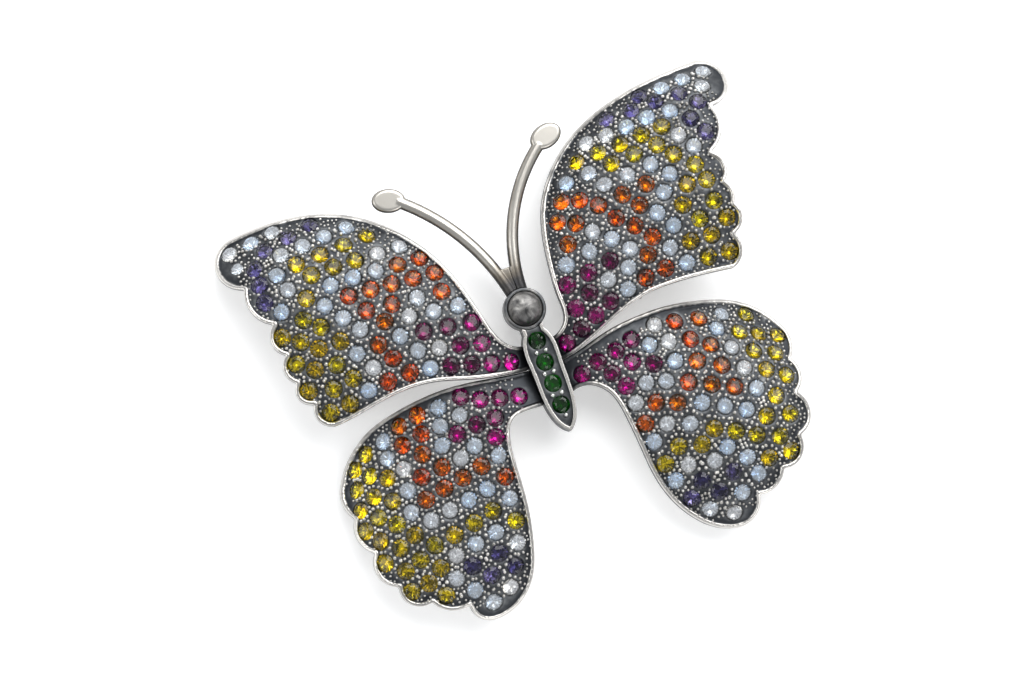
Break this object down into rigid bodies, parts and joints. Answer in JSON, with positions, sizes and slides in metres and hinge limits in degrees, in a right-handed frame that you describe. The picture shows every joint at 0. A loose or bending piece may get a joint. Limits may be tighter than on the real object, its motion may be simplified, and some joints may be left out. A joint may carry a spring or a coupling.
{
  "type": "butterfly brooch",
  "caption": "Butterfly brooch with four domed, scalloped wings paved with round stones, a ball head, two antennae, and a hinged pin with a turning safety catch on the back.",
  "frame": {"origin": "middle of the brooch's box in plan, on the surface it lies on", "axes": "+X towards the butterfly's right-hand wings as seen from the front, +Y towards its head, +Z out of the front face"},
  "size_m": [0.0624, 0.0518, 0.0079],
  "materials": {
    "oxidised_silver": "cast silver, bright on edges and beads, blackened in the recesses",
    "stone_green": "faceted, transparent, emerald to peridot green",
    "dark_ball": "polished, grey, mottled",
    "pin_metal": "polished white metal",
    "stone_magenta": "faceted, transparent, fuchsia",
    "stone_opal": "faceted, milky white with blue and pink reflections",
    "stone_orange": "faceted, transparent, warm orange to red",
    "stone_violet": "faceted, transparent, blue violet",
    "stone_yellow": "faceted, transparent, clear light topaz yellow"
  },
  "bodies": {
    "brooch": {"body_channel": "oxidised_silver", "body_stones_green": "stone_green", "catch_body": "oxidised_silver", "head_ball": "dark_ball", "head_cup": "oxidised_silver", "joint_rivet": "pin_metal", "left_antenna": "oxidised_silver", "lower_left_stones_magenta": "stone_magenta", "lower_left_stones_opal": "stone_opal", "lower_left_stones_orange": "stone_orange", "lower_left_stones_violet": "stone_violet", "lower_left_stones_yellow": "stone_yellow", "lower_left_wing": "oxidised_silver", "lower_right_stones_magenta": "stone_magenta", "lower_right_stones_opal": "stone_opal", "lower_right_stones_orange": "stone_orange", "lower_right_stones_violet": "stone_violet", "lower_right_stones_yellow": "stone_yellow", "lower_right_wing": "oxidised_silver", "pin_joint": "oxidised_silver", "right_antenna": "oxidised_silver", "upper_left_stones_magenta": "stone_magenta", "upper_left_stones_opal": "stone_opal", "upper_left_stones_orange": "stone_orange", "upper_left_stones_violet": "stone_violet", "upper_left_stones_yellow": "stone_yellow", "upper_left_wing": "oxidised_silver", "upper_right_stones_magenta": "stone_magenta", "upper_right_stones_opal": "stone_opal", "upper_right_stones_orange": "stone_orange", "upper_right_stones_violet": "stone_violet", "upper_right_stones_yellow": "stone_yellow", "upper_right_wing": "oxidised_silver"},
    "pin": {"pin_stem": "pin_metal"},
    "catch_turner": {"catch_roller": "oxidised_silver"}
  },
  "joints": [
    {"name": "pin_swing", "type": "hinge", "parent": "brooch", "child": "pin", "pos_m": [-0.01394, 0.0048, 0.00203], "axis": [0.3518, 0.9361, 0], "range_deg": [0, 95]},
    {"name": "catch_turn", "type": "hinge", "parent": "brooch", "child": "catch_turner", "pos_m": [0.01358, -0.00554, 0.00203], "axis": [0.9361, -0.3518, 0], "range_deg": [0, 100]}
  ]
}
